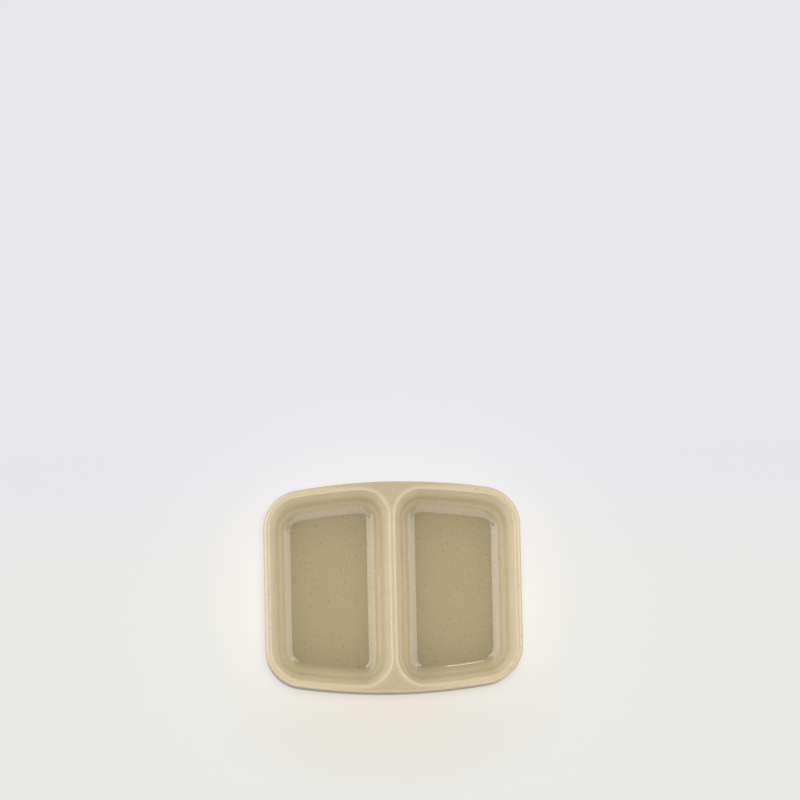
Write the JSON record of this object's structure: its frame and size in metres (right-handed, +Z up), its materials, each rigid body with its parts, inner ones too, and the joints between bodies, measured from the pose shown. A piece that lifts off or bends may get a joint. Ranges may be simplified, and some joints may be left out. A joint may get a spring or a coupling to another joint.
{
  "type": "two-compartment olive dish",
  "caption": "Low rectangular stoneware dish with bowed long sides, rounded corners and a dividing wall between two deep pockets, glazed down to a bare foot ring.",
  "frame": {"origin": "on the ground below the middle of the dish, at the foot ring's lower face", "axes": "+X along the length through both pockets, +Y along the dividing wall, +Z up out of the pockets"},
  "size_m": [0.129, 0.106, 0.033],
  "materials": {
    "clay": "bare fired stoneware, matte",
    "glaze": "glossy warm beige glaze with fine darker specks"
  },
  "bodies": {
    "root": {"stoneware_body": "clay", "glaze_coat": "glaze", "base_glaze": "glaze"}
  },
  "joints": []
}
